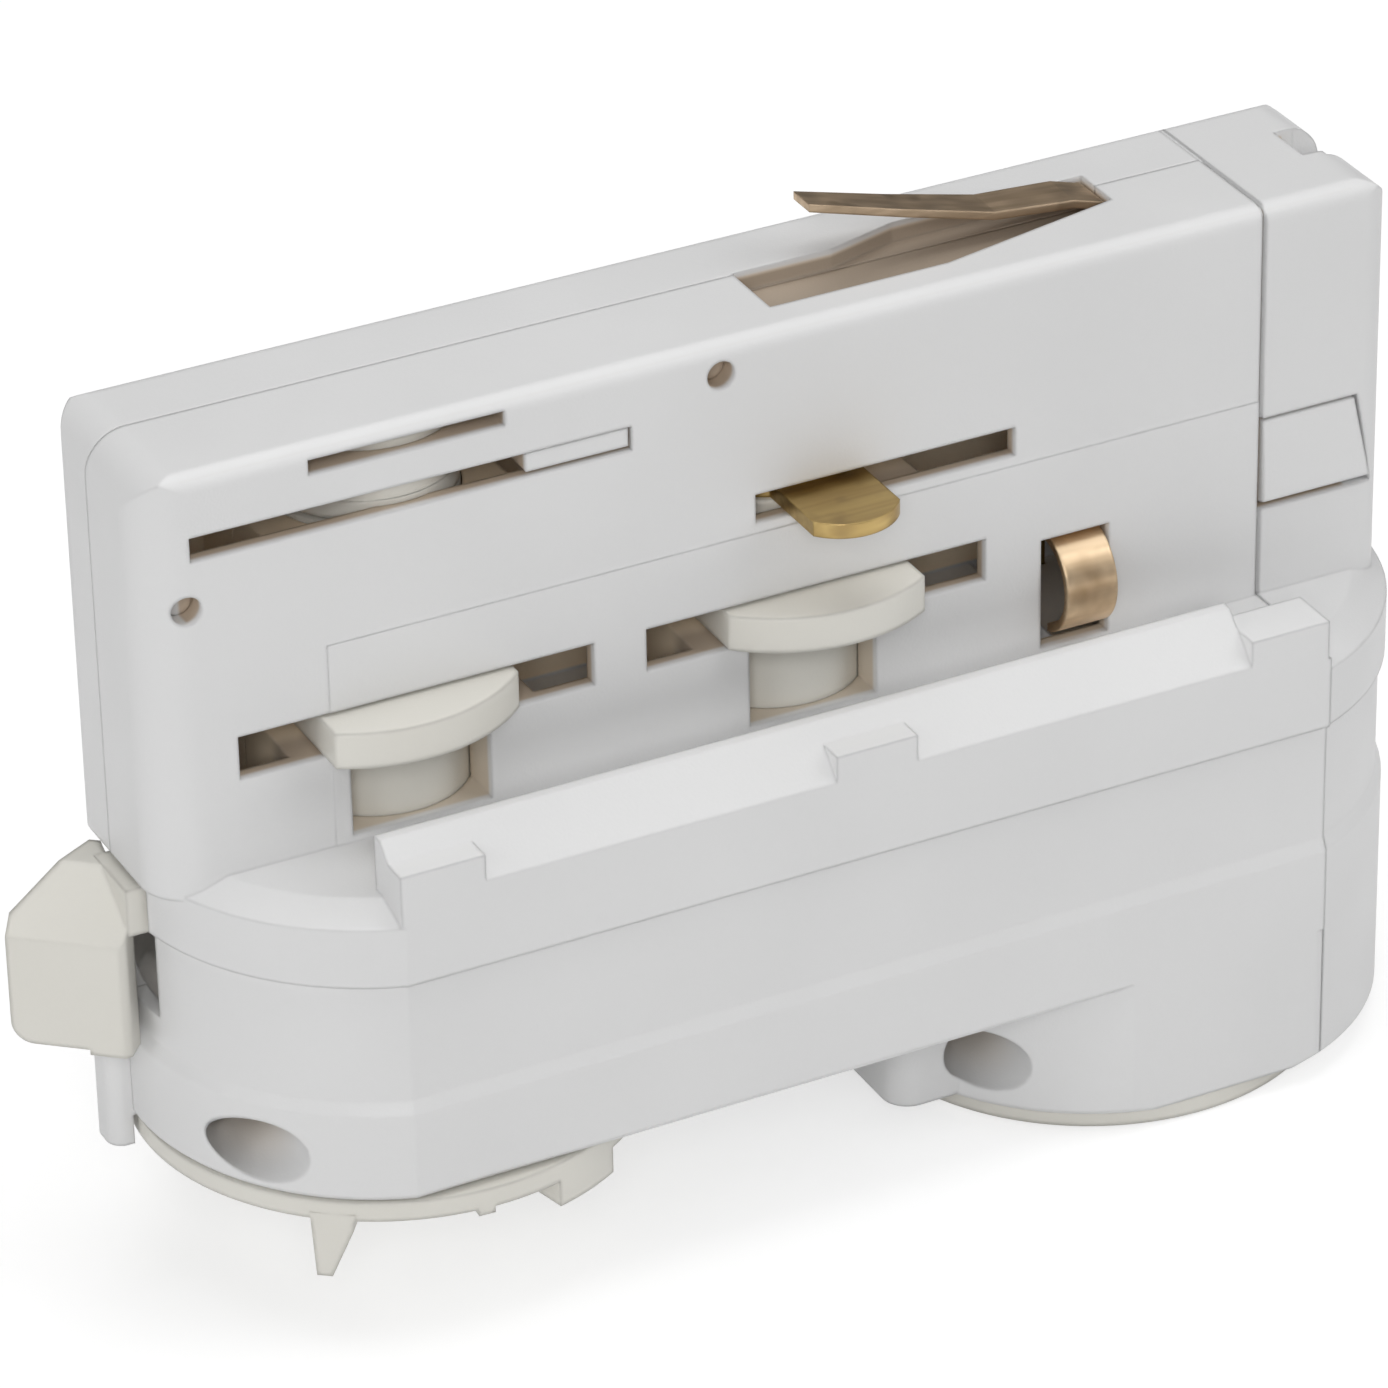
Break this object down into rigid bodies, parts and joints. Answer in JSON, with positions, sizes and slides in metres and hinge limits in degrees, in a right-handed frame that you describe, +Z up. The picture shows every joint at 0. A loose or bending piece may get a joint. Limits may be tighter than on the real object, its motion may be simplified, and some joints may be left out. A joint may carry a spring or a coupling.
{
  "type": "track light adapter",
  "caption": "Plug-in adapter that locks a spotlight into a lighting track with turning cams, brass contacts and a threaded boss below.",
  "frame": {"origin": "on the track seat plane, mid-length and mid-width of the neck", "axes": "+X along the track towards the hanging boss, +Y to the rear, +Z up into the track"},
  "size_m": [0.1038, 0.0368, 0.0696],
  "materials": {
    "white_plastic": "satin moulded white",
    "ivory_plastic": "natural nylon, slightly translucent",
    "brass": "stamped, lightly oxidised",
    "bronze": "rolled spring bronze, darkened",
    "steel": "zinc plated"
  },
  "bodies": {
    "housing": {"front_shell": "white_plastic", "rear_shell": "white_plastic", "detent_spring": "steel", "earth_lead": "brass", "neutral_lead": "brass", "phase_lead": "brass", "terminal_block": "white_plastic", "terminal_clamps": "brass", "terminal_screws": "steel", "mount_nut": "steel", "boss_plate": "ivory_plastic", "shell_screws": "steel"},
    "lever_group": {"locking_lever": "ivory_plastic", "left_cam": "ivory_plastic"},
    "right_cam_group": {"right_cam": "ivory_plastic", "neutral_contact": "brass", "contact_cap": "ivory_plastic"},
    "selector_group": {"selector_knob": "ivory_plastic", "selector_spindle": "ivory_plastic", "phase_contact": "brass", "selector_clip": "steel"},
    "top_leaf": {"top_spring": "bronze"},
    "side_leaf": {"side_spring": "brass"}
  },
  "joints": [
    {"name": "lever_turn", "type": "hinge", "parent": "housing", "child": "lever_group", "pos_m": [-0.028, 0, 0], "axis": [0, 0, 1], "range_deg": [-90, 0]},
    {"name": "right_cam_turn", "type": "hinge", "parent": "housing", "child": "right_cam_group", "pos_m": [0.002, 0, 0], "axis": [0, 0, 1], "range_deg": [0, 90]},
    {"name": "selector_turn", "type": "hinge", "parent": "housing", "child": "selector_group", "pos_m": [-0.028, 0, 0], "axis": [0, 0, 1], "range_deg": [-90, 90]},
    {"name": "top_leaf_press", "type": "hinge", "parent": "housing", "child": "top_leaf", "pos_m": [0.0277, 0.0009, 0.0295], "axis": [0, -1, 0], "range_deg": [0, 6], "stiffness_Nm_per_rad": 0.2},
    {"name": "side_leaf_press", "type": "hinge", "parent": "housing", "child": "side_leaf", "pos_m": [0.0226, -0.0052, 0.0087], "axis": [1, 0, 0], "range_deg": [0, 20], "stiffness_Nm_per_rad": 0.1}
  ],
  "couplings": [
    {"joint": "right_cam_turn", "follows": "lever_turn", "ratio": -1}
  ]
}
